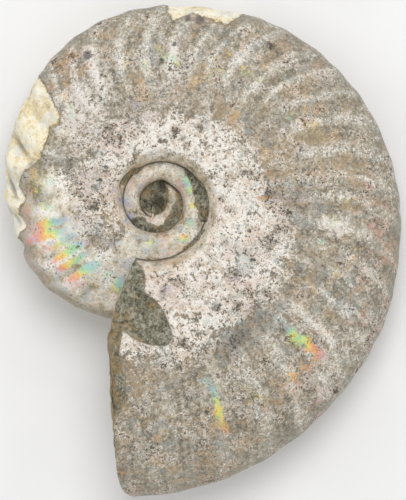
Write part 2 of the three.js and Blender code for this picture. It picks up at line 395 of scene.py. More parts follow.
@dataclass
class Markings:
    """Where the shell is chalky, bare, missing, stained or bright.

    The outlines of rock and crumbs are seen from above in millimetres from the coil axis. Those
    of bare shell, and the borders of the chalk, are pairs of a bearing and a share of the flank.
    """

    window: Line = (
        (-3.9, -9.5), (-3.3, -10.3), (-2.7, -10.9), (-2, -11.9), (-1.95, -12.9), (-2.3, -14.8),
        (-1.9, -15.3), (-0.5, -16.3), (0.35, -17.3), (1.2, -18.7), (1.9, -20.3), (2.4, -21.6),
        (2.5, -22.8), (2, -23.8), (0.2, -24.3), (-1.5, -24), (-3.2, -23.4), (-4.4, -22.6),
        (-5.6, -21.7), (-9, -21), (-9, -16), (-6, -11),
    )
    bare: Line = (
        (228.2, 1.1), (228.5, 0.93), (230, 0.83), (233, 0.7), (236, 0.66), (241, 0.71), (249, 0.68),
        (254, 0.7), (258, 0.75), (262, 0.8), (268, 0.87), (273, 0.81), (276, 0.83), (280, 0.89),
        (285, 0.86), (288, 0.92), (292, 0.95), (295, 0.99), (295.5, 1.05), (291, 1.1), (284, 1.07),
        (276, 1.13), (269, 1.06), (262, 1.12), (254, 1.16), (247, 1.08), (240, 1.13), (234, 1.08),
    )
    bare_top: Line = (
        (160, 1.1), (161, 0.99), (163.5, 0.9), (166.5, 0.885), (169, 0.93), (172, 0.925),
        (176, 0.93), (180.5, 0.9), (182, 0.95), (182.6, 1.02), (180, 1.08), (176, 1.05),
        (172.5, 1.13), (168, 1.09), (164, 1.14),
    )
    bare_below: Line = (
        (196, 0.88), (200, 0.8), (206, 0.73), (213, 0.7), (220, 0.76), (228, 0.74), (235, 0.83),
        (237, 0.92), (231, 0.96), (224, 0.92), (217, 0.97), (210, 0.95), (203, 0.96),
    )
    gleams: tuple[Streak, ...] = streaks(
        (21.5, 0.67, 1.15, 0.1, 0.85), (51, 0.64, 1.5, 0.12, 0.75), (52.2, 0.77, 1.2, 0.08, 1),
        (32.5, 0.72, 1.2, 0.04, 0.5), (32.5, 0.8, 1.2, 0.03, 0.5), (43, 0.75, 1.2, 0.03, 0.4),
        (64, 0.85, 2, 0.07, 0.35), (82, 0.58, 1.6, 0.04, 0.4), (91, 0.66, 2, 0.06, 0.3),
        (213.5, 0.5, 1.6, 0.06, 0.45), (216, 0.62, 2, 0.05, 0.5), (206, 0.59, 2, 0.03, 0.3),
        (264, 0.58, 2.5, 0.07, 0.55), (270, 0.66, 2, 0.07, 0.5), (277, 0.64, 2.5, 0.08, 0.6),
        (285.5, 0.6, 2.6, 0.14, 0.9), (287, 0.75, 2.4, 0.1, 0.5), (291.5, 0.69, 2.3, 0.17, 1.1),
        (296, 0.56, 2.2, 0.1, 0.7), (298, 0.72, 2, 0.13, 0.6), (304, 0.7, 2.3, 0.14, 1.1),
        (310, 0.62, 1.9, 0.13, 0.9), (309.5, 0.76, 1.9, 0.1, 0.9), (303, 0.55, 2.8, 0.08, 0.8),
        (317.5, 0.7, 2.4, 0.17, 1), (320.5, 0.58, 3, 0.08, 0.7), (322.5, 0.76, 1.6, 0.08, 0.6),
        (339.5, 0.6, 3.4, 0.07, 1.1), (341, 0.7, 2, 0.03, 0.7), (330, 0.58, 3, 0.08, 0.3),
        (337, 0.8, 3, 0.06, 0.25), (330, 0.86, 3, 0.06, 0.25),
    )
    stains: tuple[Streak, ...] = streaks(
        (97.5, 0.3, 1.3, 0.055, 1.2), (109, 0.36, 3, 0.04, 1), (121, 0.4, 3, 0.04, 0.9),
        (143, 0.4, 2.5, 0.06, 0.9), (94.5, 0.47, 1.3, 0.06, 0.9), (168, 0.5, 3.5, 0.06, 0.9),
        (166, 0.6, 2.5, 0.06, 0.5), (193, 0.53, 3, 0.06, 0.9), (193, 0.43, 8, 0.04, 0.6),
        (60, 0.5, 3, 0.02, 0.6), (66, 0.6, 2.5, 0.03, 0.6), (238, 0.58, 5, 0.07, 0.7),
        (217, 0.92, 6, 0.06, 0.6), (203, 0.9, 5, 0.06, 0.4), (149, 0.87, 2.5, 0.04, 0.5),
        (106, 0.62, 3, 0.08, 0.4), (125, 0.75, 4, 0.1, 0.4), (280, 0.85, 6, 0.06, 0.5),
        (300, 0.93, 8, 0.05, 0.6), (330, 0.37, 7, 0.035, 1.2), (341, 0.42, 3, 0.06, 0.8),
        (3, 0.5, 1.5, 0.05, 0.5), (15, 0.93, 8, 0.1, 0.3),
    )
    pales: tuple[Streak, ...] = streaks(
        (87, 0.66, 3.2, 0.09, 1), (179, 0.7, 1.6, 0.14, 1), (211, 0.75, 1.4, 0.12, 0.9),
        (209.5, 0.86, 2, 0.06, 0.7), (57, 0.72, 1.4, 0.16, 0.7), (66, 0.8, 1.6, 0.12, 0.5),
        (97, 0.72, 1.6, 0.14, 0.5), (112, 0.75, 1.6, 0.14, 0.5), (125, 0.62, 1.6, 0.12, 0.6),
        (145, 0.62, 2, 0.14, 0.5), (156, 0.68, 1.8, 0.15, 0.5), (222, 0.68, 2.4, 0.08, 0.5),
        (290, 0.42, 2, 0.06, 0.5), (272, 0.38, 8, 0.04, 0.6), (306, 0.14, 6, 0.04, 0.8),
        (190, 0.3, 14, 0.015, 0.6), (30, 0.6, 6, 0.06, 0.3), (43, 0.68, 1.6, 0.12, 0.4),
        (232, 0.5, 16, 0.16, 0.45), (268, 0.42, 18, 0.16, 0.5), (52, 0.88, 8, 0.1, 0.3),
        (300, 0.5, 20, 0.2, 0.3), (186, 0.62, 30, 0.24, 0.42), (228, 0.66, 16, 0.25, 0.52),
        (266, 0.52, 15, 0.16, 0.1), (316, 0.5, 8, 0.1, 0.4), (294, 0.36, 8, 0.08, 0.4),
    )
    # Dark spots, and painted shade in the bare patch's folds and between ribs near the mouth.
    darks_and_shades: tuple[Streak, ...] = streaks(
        (179, 0.74, 1, 0.02, 1.6), (210.5, 0.85, 1.5, 0.03, 1.6), (183.5, 0.64, 1, 0.02, 1.4),
        (149, 0.87, 2, 0.02, 0.8), (172, 0.9, 1.5, 0.03, 0.9), (175.8, 0.9, 1, 0.02, 1.2),
        (63, 0.3, 3, 0.03, 0.7), (54, 0.25, 5, 0.04, 0.8), (34, 0.28, 5, 0.04, 0.7),
        (37, 0.46, 10, 0.05, 0.6), (252.7, 0.9, 1.3, 0.09, 0.9, -34),
        (269.5, 0.93, 1.4, 0.06, 1, -70), (281.8, 0.95, 1.2, 0.05, 0.7, -75),
        (245.3, 0.82, 1.6, 0.05, 0.4, -34), (234, 0.81, 2.2, 0.04, 0.5), (226, 0.17, 2, 0.03, 0.9),
        (240, 0.19, 3, 0.03, 0.7), (254, 0.2, 2, 0.03, 0.8), (205, 0.2, 1.5, 0.02, 0.9),
        (185, 0.16, 1.5, 0.02, 0.9), (279, 0.25, 3, 0.05, 0.6), (305, 0.45, 8, 0.1, 0.45),
        (313.5, 0.75, 1.6, 0.14, 0.9), (326.5, 0.8, 2, 0.14, 0.9), (301.5, 0.83, 1.6, 0.08, 0.7),
        (268, 0.75, 4, 0.08, 0.6), (250, 0.46, 3, 0.06, 0.5), (223, 0.72, 2, 0.04, 0.5),
        (346, 0.8, 2, 0.3, 0.6), (262, 0.97, 5, 0.015, 0.3), (263, 0.74, 6.5, 0.11, 0.8),
        (254, 0.58, 6, 0.1, 0.45), (88, 0.22, 7, 0.04, 0.45), (112, 0.27, 6, 0.05, 0.5),
        (99, 0.34, 4, 0.05, 0.55), (76, 0.33, 4, 0.04, 0.45),
    )
    warms: tuple[Streak, ...] = streaks(
        (164, 0.57, 7, 0.09, 0.9), (148, 0.42, 6, 0.07, 0.7), (135, 0.76, 5, 0.12, 0.7),
        (119, 0.6, 5, 0.18, 0.9), (106, 0.72, 4, 0.18, 0.8), (109, 0.4, 6, 0.06, 0.8),
        (95, 0.78, 4, 0.12, 0.5), (79, 0.64, 3, 0.13, 0.8), (84, 0.93, 5, 0.06, 0.8),
        (196, 0.55, 9, 0.1, 0.7), (181, 0.42, 9, 0.06, 0.6), (217, 0.84, 8, 0.08, 0.8),
        (238, 0.62, 6, 0.08, 0.7), (15, 0.86, 12, 0.12, 0.5), (-2, 0.55, 8, 0.15, 0.4),
        (236, 0.85, 7, 0.06, 0.6), (342, 0.62, 4, 0.12, 0.7), (150, 0.9, 6, 0.06, 0.6),
        (66, 0.55, 4, 0.08, 0.6), (100, 0.24, 16, 0.1, 0.6), (64, 0.2, 12, 0.08, 0.4),
    )
    cools: tuple[Streak, ...] = streaks(
        (187, 0.7, 4, 0.1, 0.9), (163, 0.74, 4, 0.1, 0.9), (148, 0.66, 3, 0.1, 0.6),
        (130, 0.38, 8, 0.06, 0.7), (101, 0.46, 5, 0.1, 0.7), (87, 0.47, 6, 0.08, 0.7),
        (66, 0.28, 7, 0.05, 0.8), (38, 0.42, 9, 0.1, 0.9), (50, 0.5, 5, 0.06, 0.7),
        (67, 0.72, 5, 0.12, 0.8), (30, 0.6, 6, 0.1, 0.4), (255, 0.3, 20, 0.1, 0.6),
        (300, 0.32, 12, 0.14, 0.9), (303, 0.55, 8, 0.1, 0.7), (5, 0.75, 10, 0.15, 0.3),
        (222, 0.62, 6, 0.12, 0.4), (335, 0.5, 10, 0.12, 0.7), (264, 0.95, 13, 0.09, 1.2),
        (287, 0.98, 7, 0.06, 1), (322, 0.74, 10, 0.2, 0.4), (330, 0.9, 5, 0.05, 0.5),
    )
    chalk_inner: Line = (
        (0, 0.035), (100, 0.045), (170, 0.055), (260, 0.06), (320, 0.07),
    )
    chalk_outer: Line = (
        (-10, 0.42), (50, 0.42), (60, 0.44), (85, 0.43), (97, 0.36), (120, 0.34), (160, 0.32),
        (172, 0.31), (205, 0.32), (215, 0.37), (260, 0.4), (300, 0.36), (330, 0.2),
    )
    # Where the painted shade towards the outer edge begins, as a share of the flank, by bearing.
    edge_shade_inner: Line = (
        (240, 0.86), (256, 0.44), (280, 0.5), (300, 0.8), (330, 0.86),
    )
    chalk_strength: Line = (
        (0, 1), (60, 1), (120, 0.94), (165, 0.97), (190, 0.92), (240, 0.85), (285, 0.64),
        (305, 0.3), (320, 0),
    )
    seam_fills: tuple[Line, ...] = (
        (
            (4.6, 5.6), (5.3, 3.9), (5.9, 2.8), (5.8, 1.9), (6.4, 1), (6.2, -0.3), (6.8, -1.3),
            (6.8, -2.4), (7.3, -3.3), (8.2, -3.3), (8.6, -1.5), (8.5, 0.3), (8.1, 2), (7.2, 3.6),
        ),
        (
            (7.9, -4.3), (6.7, -5.6), (5.4, -6.7), (4.3, -7.8), (4.6, -8.2), (6.6, -6.5), (8, -4.7),
        ),
        (
            (-6.6, 1.8), (-5.9, 2.9), (-5.2, 3.4), (-4.6, 4.5), (-3.4, 5), (-2.6, 5.9), (-4.2, 5.8),
            (-5.7, 4.6), (-6.6, 3.4), (-7, 2),
        ),
    )
    plug_outline: Line = (
        (-3, 1), (-2.7, 2.3), (-1.2, 3.4), (0, 4.3), (0.8, 3.5), (1.7, 2.2), (1.85, 0.6),
        (1.4, -0.7), (0.6, -1.7), (-0.6, -1.9), (-1.6, -1.7), (-2.9, -0.5),
    )
    crescent_outline: Line = (
        (-4.4, -2.6), (-2.9, -2.4), (-2.1, -2.6), (-1.7, -3.3), (-0.2, -3.9), (0.9, -3.5),
        (1.5, -2.6), (2.2, -1.7), (2.6, -0.4), (3.2, 0.4), (3, 1.2), (3.3, 2), (4.6, 1.6),
        (4.6, -3), (2.6, -5.6), (-1.6, -5.9), (-4.4, -4.4),
    )
    crumb_outline: Line = (
        (-1.8, -1.7), (-1, -1.6), (-0.7, -2.4), (0, -2.7), (0.8, -2.3), (1.2, -2.7), (0.9, -3.4),
        (0, -3.7), (-1, -3.5), (-1.7, -2.8),
    )
    hues: Line = ((0.45, 0), (0.6, 0.3), (0.68, 0.5), (0.77, 0.75), (0.85, 1))
    lower_stretch: float = 0.93
    lower_shift: float = 31.0
    lower_break: float = 1.2
    window_turn: float = 0.3
    fill_turn: float = 0.98
    fill_reach: float = 0.04
    centre_turn: float = 1.88
    patch_scale: tuple[float, float] = (0.5, 22.0)
    chalk_fade: tuple[float, float] = (0.11, 0.08)
    wall_fade: tuple[float, float] = (0.02, 0.04)
    sleek_lean: float = 0.16
    sleek_middle: float = 0.55
    sleek_start: tuple[float, float] = (0.725, 0.805)
    sleek_reach: tuple[float, float] = (0.34, 0.5)
    sleek_old: tuple[float, float] = (0.91, 0.96)
    groove_width: float = 0.25
    groove_radius: float = 8.0
    mouth_warmth: float = 0.5
    # Pits in the centre, sunk and painted dark as shade.
    pits: tuple[Blot, ...] = blots(
        (0.2, 0.2, 0.6, 1.1), (0.6, 2.8, 0.8, 1), (-0.2, 0.8, 2.1, 0.68), (1.6, -3.6, 2.2, 0.3),
    )
    centre_gleams: tuple[Blot, ...] = blots(
        (4, 5.2, 1.1, 0.5, 0.5), (5.2, 3.8, 0.9, 0.8, 0.42), (5.6, 2, 0.8, 0.7, 0.5),
        (5.8, -0.4, 0.7, 0.7, 0.55), (5.4, -3.6, 1, 0.8, 0.38), (4.2, -5.6, 1.2, 0.6, 0.55),
        (2.6, -6.6, 1, 0.35, 0.7), (-1.4, -6.6, 1.4, 0.4, 0.8), (-3.4, -8.2, 1.8, 0.35, 0.26),
        (0.4, -8.3, 1.6, 0.35, 0.25), (-6.6, -6.8, 1.8, 0.35, 0.16), (2, 6.2, 1.2, 0.35, 0.4),
        (-5.6, 0.4, 1, 0.5, 0.05), (-4.6, -2.6, 1.1, 0.5, 0.1),
    )
    centre_warms: tuple[Blot, ...] = blots(
        (-2.6, 4.4, 2.6, 0.6), (-4.6, 2, 1.4, 0.6), (-2.6, -5.4, 2.2, 0.8), (1.4, -6.2, 2, 0.7),
        (4.4, 0.6, 1.4, 0.6), (4.4, -3, 1.4, 0.7), (-8.8, -1, 3.2, 0.5), (0.5, -9.8, 3.4, 0.6),
        (-7.6, -22, 2.5, 0.5), (-7.4, -27, 3, 0.8), (-7.2, -32, 3, 0.7), (2.6, 1.4, 1.4, 0.8),
    )

    def read(self, skin: "Skin", mouth: Break) -> dict[Mark, Array]:
        """What lies at each place of a skin.

        Signed distances in millimetres give the patches with crisp borders, and sums of bell
        curves the soft marks. The lower flank reads the same marks shifted along the whorl.

        Args:
            skin: The skin's places, before they are sculpted.
            mouth: The broken mouth.

        Returns:
            One array for each mark.
        """
        upper = skin.side > 0
        lower = self.lower_stretch * skin.bearing + self.lower_shift
        bearing = np.where(upper, skin.bearing, lower)
        last = (skin.turn < 1) & (skin.kind == Kind.FLANK.value)
        reach = skin.reach
        # brown is where the painted shade towards the outer edge begins.
        brown = np.interp(bearing, *zip(*self.edge_shade_inner))
        marks = {
            Mark.ROCK: self.rock(skin, mouth),
            Mark.BARE: np.where(last, self.bareness(skin), OUTSIDE),
            Mark.CHALK: np.where(last, self.chalkiness(bearing, reach), 0.0),
            Mark.RIB: np.where(last, skin.wave ** 2, 0.0),
            Mark.SLEEK: self.sleekness(skin, bearing),
            Mark.EDGE: np.where(last, smooth(reach, brown, 1.0), 0.0),
            Mark.SEAM: self.seam_fill_and_shade(skin),
        }
        for mark, group in (
            (Mark.GLEAM, self.gleams), (Mark.STAIN, self.stains), (Mark.PALE, self.pales),
            (Mark.DARK, self.darks_and_shades), (Mark.WARM, self.warms), (Mark.COOL, self.cools),
        ):
            marks[mark] = np.where(last, self.joined(group, bearing, reach), 0.0)
        marks[Mark.HUE] = np.interp(reach, *zip(*self.hues))
        self.colour_centre(skin, marks)
        return marks

    def rock(self, skin: "Skin", mouth: Break) -> Array:
        """The distance inside the places where rock shows: window, broken mouth and centre."""
        x, y = skin.at[:, 0], skin.at[:, 1]
        upper = skin.side > 0
        on_last = (skin.turn < self.window_turn) & (skin.kind == Kind.FLANK.value)
        window = np.maximum(depth_inside(x, y, self.window), mouth.shell_missing(skin.at))
        below = mouth.shell_missing(skin.at) - self.lower_break
        rock = np.where(on_last, np.where(upper, window, below), OUTSIDE)
        filled = (skin.turn >= self.fill_turn) | (skin.reach < self.fill_reach)
        for outline in self.seam_fills:
            fill = depth_inside(x, y, outline)
            rock = np.where(filled, np.maximum(rock, fill), rock)
        centre = (skin.kind == Kind.PLUG.value) | (skin.turn > self.centre_turn)
        centre |= (skin.turn >= 1) & (skin.column == 0)
        for outline in (self.crescent_outline, self.plug_outline):
            rock = np.where(centre, np.maximum(rock, depth_inside(x, y, outline)), rock)
        return np.where(skin.kind == Kind.MOUTH.value, -OUTSIDE, rock)

    def bareness(self, skin: "Skin") -> Array:
        """The distance inside the patches where the outer shell has flaked off."""
        scale = np.array(self.patch_scale)
        found = np.full(len(skin.at), OUTSIDE)
        for outline, side in (
            (self.bare, Side.UPPER), (self.bare_top, Side.UPPER), (self.bare_below, Side.LOWER),
        ):
            corners = [tuple(corner * scale) for corner in outline]
            wrapped = np.where(skin.side == side.value, skin.reach, 2 - skin.reach)
            wrapped = np.where((side is Side.LOWER) & (skin.side > 0), 2.0, wrapped)
            inside = depth_inside(skin.bearing * scale[0], wrapped * scale[1], corners)
            found = np.maximum(found, inside)
        return found

    def chalkiness(self, bearing: Array, reach: Array) -> Array:
        """1 in the chalky band round the open centre, fading over its outer border."""
        outer = np.interp(bearing, *zip(*self.chalk_outer))
        strength = np.interp(bearing, *zip(*self.chalk_strength))
        before, after = self.chalk_fade
        return (1 - smooth(reach, outer - before, outer + after)) * strength

    def sleekness(self, skin: "Skin", bearing: Array) -> Array:
        """1 on the wall round the open centre, the last turn's old end and the turn inside it."""
        inner = np.interp(bearing, *zip(*self.chalk_inner))
        before, after = self.wall_fade
        near = 1 - smooth(skin.reach, inner - before, inner + after)
        leaned = skin.turn + self.sleek_lean * (skin.reach - self.sleek_middle)
        flank = smooth(leaned, *self.sleek_start) * smooth(skin.reach, *self.sleek_reach)
        old = np.maximum(flank, smooth(skin.turn, *self.sleek_old))
        return np.where(skin.turn < 1, np.maximum(near, old), 1.0)

    def seam_fill_and_shade(self, skin: "Skin") -> Array:
        """1 in the narrow groove along the seam, a bell curve of the distance from it; painted dark as rock
        and shade.
        """
        gap = np.where(skin.turn < 1, skin.ring, np.minimum(skin.ring, 1 - skin.ring))
        bell = np.exp(-((gap * self.groove_radius / self.groove_width) ** 2))
        return np.where(skin.kind == Kind.FLANK.value, bell, 0.0)

    def colour_centre(self, skin: "Skin", marks: dict[Mark, Array]) -> None:
        """Adds the crumbs of shell, the pits with their painted shade and the soft painted rainbow sheen of
        the turns in the centre.
        """
        x, y = skin.at[:, 0], skin.at[:, 1]
        inner = (skin.turn >= 1) | (skin.kind == Kind.PLUG.value)
        crumb = depth_inside(x, y, self.crumb_outline)
        marks[Mark.ROCK] = np.where(inner, np.minimum(marks[Mark.ROCK], -crumb), marks[Mark.ROCK])
        marks[Mark.PALE] += np.where(inner, smooth(crumb, -0.2, 0.2), 0)
        # The pits are painted dark as shade in them.
        marks[Mark.DARK] += np.where(inner, sum(blot.on(x, y) for blot in self.pits), 0)
        marks[Mark.WARM] += sum(blot.on(x, y) for blot in self.centre_warms)
        for blot in self.centre_gleams:
            gleam = blot.on(x, y)
            marks[Mark.GLEAM] += gleam
            marks[Mark.HUE] += (blot.hue - marks[Mark.HUE]) * np.clip(2 * gleam, 0, 1)
        marks[Mark.WARM] += np.where(skin.kind == Kind.MOUTH.value, self.mouth_warmth, 0)

    @staticmethod
    def joined(streaks: Iterable[Streak], bearing: Array, reach: Array) -> Array:
        """The sum of soft marks."""
        return sum(streak.on(bearing, reach) for streak in streaks)


@dataclass
class Skin:
    """Places on the skin in the coil's own frame, with what is known of each.

    bearing and reach are degrees back from the mouth and the share of the way from seam to
    outer edge, wave is the ribs' relief, ring the way across a turn in the open centre, start
    the row in turns and column the column.
    """

    at: Array
    bearing: Array
    reach: Array
    wave: Array
    side: Array
    turn: Array
    ring: Array
    start: Array
    column: Array
    kind: Array

    def take(self, chosen: Array) -> "Skin":
        """The chosen places only."""
        return Skin(**{name: values[chosen] for name, values in vars(self).items()})

    def join(self, *others: "Skin") -> "Skin":
        """This skin's places followed by the others'."""
        return Skin(**{
            name: np.concatenate([values, *(getattr(other, name) for other in others)])
            for name, values in vars(self).items()
        })

    @staticmethod
    def plain(at: Array, kind: Kind) -> "Skin":
        """Places of which only the part is known, on the side that their height gives."""
        side = np.where(at[:, 2] >= 0, 1.0, -1.0)
        blank = np.zeros(len(at))
        return Skin(
            at=at, bearing=blank, reach=blank, wave=blank, side=side, turn=blank, ring=blank,
            start=blank, column=blank, kind=np.full(len(at), float(kind.value)),
        )


@dataclass
class Ammonite:
    """The closed skin of the whole fossil, from its spiral to one mesh."""

    coil: Coil = field(default_factory=Coil)
    mouth: Break = field(default_factory=Break)
    ribs: Ribs = field(default_factory=Ribs)
    lie: Lie = field(default_factory=Lie)
    markings: Markings = field(default_factory=Markings)
    rows: int = 480
    turns: int = 2
    wall: int = 8
    cover: int = 20
    columns: int = 72
    plug_rings: int = 8
    plug_height: float = 1.6
    rough_lumps: Line = ((0.3, 1.9), (0.16, 0.8))
    worn_lumps: Line = ((0.11, 9.0), (0.05, 2.6))
    rock_step: float = 0.45
    bare_step: float = 0.28
    pit_depth: float = 0.7
    fold_depth: float = 0.5
    fold_ribs: float = 0.7
    sharp_angle: float = 60.0
    grain_steps: tuple[float, float, float, float] = (157.0, 40.0, 25.0, 50.0)
    map_width: float = 142.0
    map_margin: tuple[float, float] = (27.5, 51.0)
    map_lower_margin: float = 42.5
    map_mouth: tuple[float, float] = (0.65, 13.0)
    name: str = "ammonite_shell"

    def section(self, turn: Array, column: Array) -> tuple[Array, Array, Array]:
        """Radius, height and share of the open flank of places on the whorl's section.

        The wall is a quarter of an ellipse from the seam up to the shoulder, and the flank
        falls from there to the outer edge, with its columns closer together at the edge.

        Args:
            turn: Turns back from the mouth.
            column: Column of the grid.

        Returns:
            Three arrays of the same shape.
        """
        coil = self.coil
        seam, crest = coil.seam(turn), coil.crest(turn)
        venter = coil.venter(turn) + coil.irregularity(turn)
        rise = np.clip(column / self.wall, 0, 1) * np.pi / 2
        foot = coil.seam_height(turn)
        across = np.clip((column - self.wall) / (self.cover - self.wall), 0, 1)
        step = np.clip((column - self.cover) / (self.columns - self.cover), 0, 1)
        open_share = np.sin(step * np.pi / 2)
        radius = crest + (2 * seam - crest) * across + (venter - 2 * seam) * open_share
        height = coil.flank(turn, (radius - crest) / (venter - crest))
        on_wall = column <= self.wall
        radius = np.where(on_wall, crest - (crest - seam) * np.cos(rise), radius)
        climb = foot + (coil.thickness(turn) - foot) * np.sin(rise)
        return radius, np.where(on_wall, climb, height), open_share

    def flank(self, side: Side) -> Skin:
        """The places of one side's grid, rows along the whorl and columns across it.

        A row follows a growth line: it bends with the ribs, and near the mouth it swings into
        the direction of the break. Ribs lift it by a stretched cosine.

        Args:
            side: Which flank.

        Returns:
            The places, row by row.
        """
        row, column = np.mgrid[0 : self.rows * self.turns + 1, 0 : self.columns + 1].astype(float)
        start = row / self.rows
        radius, _, open_share = self.section(start, column)
        swing = np.clip(1 - start / self.mouth.reach, 0, 1) ** 2
        covering = smooth(start, 1 - self.ribs.covering_reach, 1)
        setback = self.mouth.edge_setback(self.coil, radius, open_share) * swing
        bend = self.ribs.bend(open_share) * (1 - swing) * (1 - covering)
        turn = start + (setback + bend) / 360
        radius, height, open_share = self.section(turn, column)
        seam = self.coil.seam(turn)
        reach = (radius - seam) / (self.coil.venter(turn) - seam)
        bearing = self.coil.bearing(turn)
        wave = np.zeros_like(start)
        middle = np.argmin(np.abs(reach - self.ribs.reach_read), axis=1)[: self.rows]
        wave[: self.rows] = self.ribs.wave(bearing[np.arange(self.rows), middle])[:, None]
        strength = self.ribs.strength(bearing, open_share) * (1 - covering)
        relief = self.ribs.height * (wave - self.ribs.groove_share) * strength
        lip = np.clip(1 - start / self.mouth.rounding_share, 0, 1) ** 2
        relief -= self.mouth.rounding * lip * (radius < self.mouth.rounding_end)
        outward = open_share ** 3
        angle = np.radians(self.coil.mouth_direction + 360 * turn)
        out = radius + relief * outward
        top = (height + relief * (1 - outward)) * side.value
        top = np.where(column == self.columns, 0, top)
        known = {
            "bearing": bearing, "reach": reach, "wave": wave * strength, "turn": turn,
            "side": np.full_like(start, side.value), "start": start, "column": column,
            "ring": (radius - seam) / seam, "kind": np.full_like(start, Kind.FLANK.value),
        }
        places = np.stack([out * np.cos(angle), out * np.sin(angle), top], axis=-1)
        return Skin(at=places.reshape(-1, 3), **{key: grid.ravel() for key, grid in known.items()})

    def numbering(self) -> tuple[Array, Array]:
        """Vertex numbers of the two flanks' grids, with shared edges sharing their numbers.

        The seam of a turn is the cover line of the turn inside it, and both flanks share the
        outer edge.

        Returns:
            The grids of numbers for the upper and the lower flank.
        """
        shape = (self.rows * self.turns + 1, self.columns + 1)
        upper = np.arange(shape[0] * shape[1]).reshape(shape)
        lower = upper + upper.size
        lower[: self.rows + 1, -1] = upper[: self.rows + 1, -1]
        inner = self.rows * (self.turns - 1) + 1
        for grid in (upper, lower):
            grid[:inner, 0] = grid[self.rows : self.rows + inner, self.cover]
        return upper, lower

    def grid_faces(self, grid: Array, side: Side) -> Array:
        """Two triangles for each cell of a grid of vertex numbers, facing out on that side."""
        a, b, c, d = grid[:-1, :-1], grid[:-1, 1:], grid[1:, 1:], grid[1:, :-1]
        faces = np.concatenate([np.stack([a, b, c], -1), np.stack([a, c, d], -1)]).reshape(-1, 3)
        return faces if side is Side.UPPER else faces[:, ::-1]

    def plug(self, skin: Skin, grid: Array, side: Side, first: int) -> tuple[Skin, Array]:
        """The rock inside the innermost turn: rings that shrink to a point on the axis.

        Args:
            skin: The flanks' places.
            grid: That flank's vertex numbers.
            side: Which flank.
            first: The number of the plug's first vertex.

        Returns:
            The plug's places and its faces.
        """
        end = self.rows * self.turns
        loop = np.concatenate([grid[end - self.rows :, 0], grid[end, 1 : self.cover]])
        rim = skin.at[loop]
        pole = np.array([0.0, 0.0, self.plug_height * side.value])
        inwards = np.arange(1, self.plug_rings) / self.plug_rings
        rings = rim + (pole - rim) * inwards[:, None, None]
        count = len(loop)
        numbers = np.vstack([loop, first + np.arange(rings.size // 3).reshape(-1, count)])
        middle = first + rings.size // 3
        closed = np.hstack([numbers, numbers[:, :1]])
        fan = np.stack([closed[-1, :-1], closed[-1, 1:], np.full(count, middle)], -1)
        fan = fan if side is Side.UPPER else fan[:, ::-1]
        faces = self.grid_faces(closed, side)
        at = np.vstack([rings.reshape(-1, 3), pole])
        return Skin.plain(at, Kind.PLUG), np.vstack([faces, fan])

    def mouth_face(self, skin: Skin, upper: Array, lower: Array, first: int) -> tuple[Skin, Array]:
        """The broken face, from the last turn's edge down to the turn that passes under it.

        Lines are blended from one edge to the other and drawn out to the plane of the break,
        less at the borders. The second edge has fewer vertices, so some are used twice.

        Args:
            skin: The flanks' places.
            upper: Vertex numbers of the upper flank.
            lower: Vertex numbers of the lower flank.
            first: The number of the face's first vertex.

        Returns:
            The face's places and its faces.
        """
        lip = np.concatenate([upper[0], lower[0, -2::-1]])
        back = lower[self.rows, -2 : self.cover - 1 : -1]
        edge = np.concatenate([upper[self.rows, self.cover :], back])
        under = edge[np.rint(np.linspace(0, len(edge) - 1, len(lip))).astype(int)]
        share = np.linspace(0, 1, len(lip))[:, None]
        inwards = (np.arange(1, self.mouth.steps) / self.mouth.steps)[:, None, None]
        outer, inner = skin.at[lip], skin.at[under]
        lines = outer + (inner - outer) * inwards
        normal = self.mouth.normal()
        missing = np.maximum(self.mouth.offset - lines @ normal, 0)[..., None]
        middle = (np.sin(np.pi * share) * np.sin(np.pi * inwards)) ** self.mouth.bulge_power
        away = np.hypot(lines[..., 0], lines[..., 1])[..., None]
        lines = lines + missing * middle * smooth(away, *self.mouth.radial_end) * normal
        inside = lines[:, 1:-1].reshape(-1, 3)
        numbers = first + np.arange(len(inside)).reshape(self.mouth.steps - 1, -1)
        ends = np.tile([lip[0], lip[-1]], (self.mouth.steps - 1, 1))
        rows = np.hstack([ends[:, :1], numbers, ends[:, 1:]])
        grid = np.vstack([lip, rows, under])
        return Skin.plain(inside, Kind.MOUTH), self.grid_faces(grid.T, Side.UPPER)

    def closed(self) -> tuple[Skin, Array]:
        """The whole closed skin before it is sculpted: its places and its triangles."""
        upper, lower = self.numbering()
        skin = self.flank(Side.UPPER).join(self.flank(Side.LOWER))
        faces = []
        for grid, side in ((upper, Side.UPPER), (lower, Side.LOWER)):
            faces.append(self.grid_faces(grid[: self.rows + 1], side))
            faces.append(self.grid_faces(grid[self.rows :, : self.cover + 1], side))
            places, triangles = self.plug(skin, grid, side, len(skin.at))
            skin = skin.join(places)
            faces.append(triangles)
        places, triangles = self.mouth_face(skin, upper, lower, len(skin.at))
        skin = skin.join(places)
        triangles = np.vstack([*faces, triangles])
        a, b, c = triangles.T
        triangles = triangles[(a != b) & (b != c) & (c != a)]
        used, numbers = np.unique(triangles, return_inverse=True)
        return skin.take(used), numbers.reshape(-1, 3)

    def normals(self, at: Array, faces: Array) -> Array:
        """Each vertex's direction, the sum of its faces' cross products made one long."""
        corners = at[faces]
        cross = np.cross(corners[:, 1] - corners[:, 0], corners[:, 2] - corners[:, 0])
        total = np.stack(
            [np.bincount(faces.ravel(), np.repeat(cross[:, k], 3), len(at)) for k in range(3)], -1
        )
        return total / np.maximum(np.linalg.norm(total, axis=1, keepdims=True), 1e-12)

